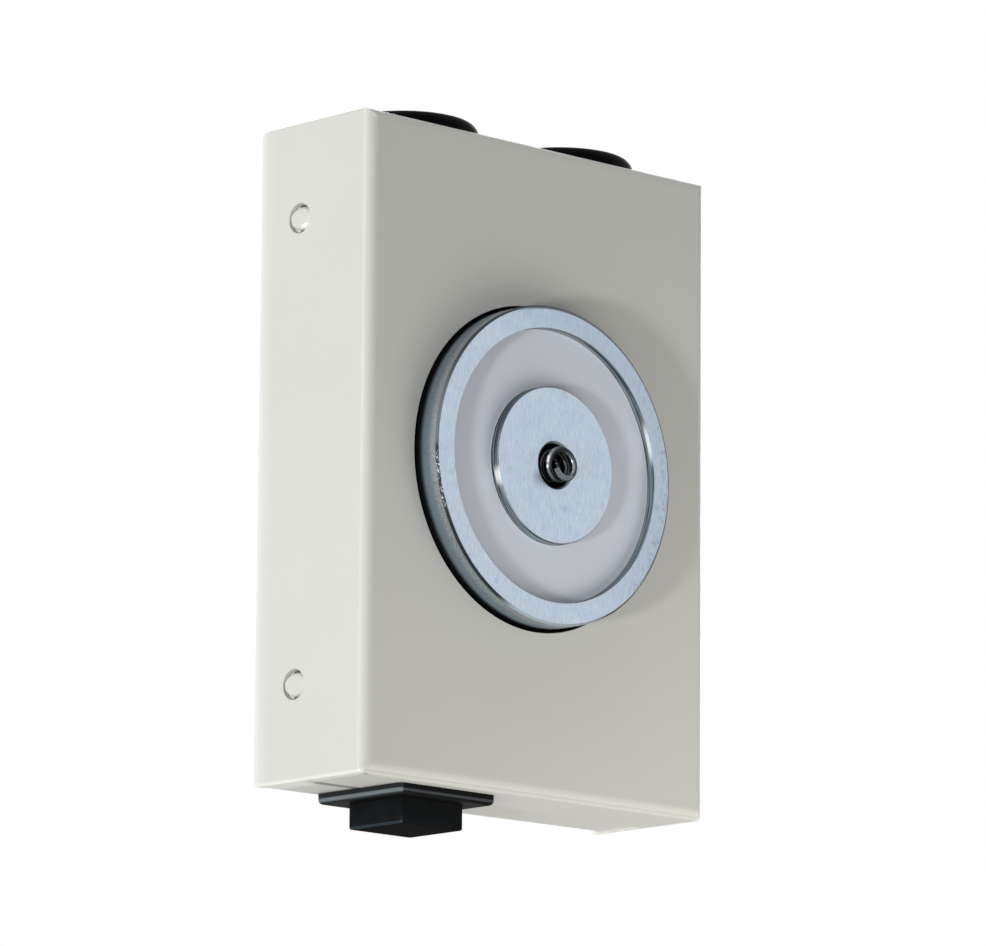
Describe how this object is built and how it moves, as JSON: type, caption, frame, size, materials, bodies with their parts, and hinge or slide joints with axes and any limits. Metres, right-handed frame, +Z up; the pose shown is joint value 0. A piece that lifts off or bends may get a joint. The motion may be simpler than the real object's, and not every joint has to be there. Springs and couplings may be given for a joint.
{
  "type": "electromagnetic door holder",
  "caption": "Wall box in folded painted sheet with a round potted holding magnet, a sprung core, rubber cable grommets on top and a square release button below.",
  "frame": {"origin": "middle of the back face, on the wall", "axes": "+Y out of the back into the wall, -Y to the front and the door, +Z up, +X right seen from the front"},
  "size_m": [0.099, 0.0434, 0.151],
  "materials": {
    "painted_sheet": "semi-gloss off-white powder paint on folded sheet",
    "zinc_steel": "turned steel, bright zinc with a blue tint",
    "black_rubber": "moulded black rubber",
    "black_plastic": "moulded black plastic, satin",
    "potting_grey": "cast resin, pale lavender grey",
    "spring_steel": "drawn spring wire",
    "bracket_steel": "zinc plated sheet and fixings",
    "bobbin_plastic": "natural glass-filled plastic",
    "copper_winding": "enamelled copper wire",
    "contact_metal": "brass strip and clamps",
    "block_plastic": "pale moulded plastic",
    "lead_red": "red wire insulation",
    "lead_black": "black wire insulation",
    "diode_body": "moulded component body"
  },
  "bodies": {
    "root": {"cover": "painted_sheet", "base_plate": "painted_sheet", "magnet_bracket": "bracket_steel", "bracket_studs": "bracket_steel", "bracket_nuts": "bracket_steel", "magnet_cup": "zinc_steel", "magnet_core": "zinc_steel", "coil_bobbin": "bobbin_plastic", "coil_winding": "copper_winding", "potting_resin": "potting_grey", "magnet_screw": "bracket_steel", "spring_washer": "bracket_steel", "cable_grommet_left": "black_rubber", "cable_grommet_right": "black_rubber", "button_housing": "black_plastic", "button_spring": "spring_steel", "switch_terminal_left": "contact_metal", "switch_terminal_right": "contact_metal", "switch_end_cap": "black_plastic", "terminal_block": "block_plastic", "terminal_clamps": "contact_metal", "terminal_screws": "bracket_steel", "terminal_fixing_screws": "bracket_steel", "coil_lead_first": "lead_red", "coil_lead_second": "lead_black", "switch_lead_first": "lead_red", "switch_lead_second": "lead_red", "lead_sleeves": "lead_black", "lead_clip": "block_plastic", "suppressor_diode": "diode_body"},
    "button": {"button_cap": "black_plastic", "contact_bridge": "contact_metal"},
    "ejector": {"ejector_spring": "spring_steel"}
  },
  "joints": [
    {"name": "release_button", "type": "slide", "parent": "root", "child": "button", "axis": [0, 0, 1], "range_m": [0, 0.0035], "stiffness_N_per_m": 400, "springref_m": -0.003, "deforming": ["button_spring"]},
    {"name": "ejector_press", "type": "slide", "parent": "root", "child": "ejector", "axis": [0, 1, 0], "range_m": [0, 0.0032], "stiffness_N_per_m": 500, "deforming": ["ejector_spring"]}
  ]
}
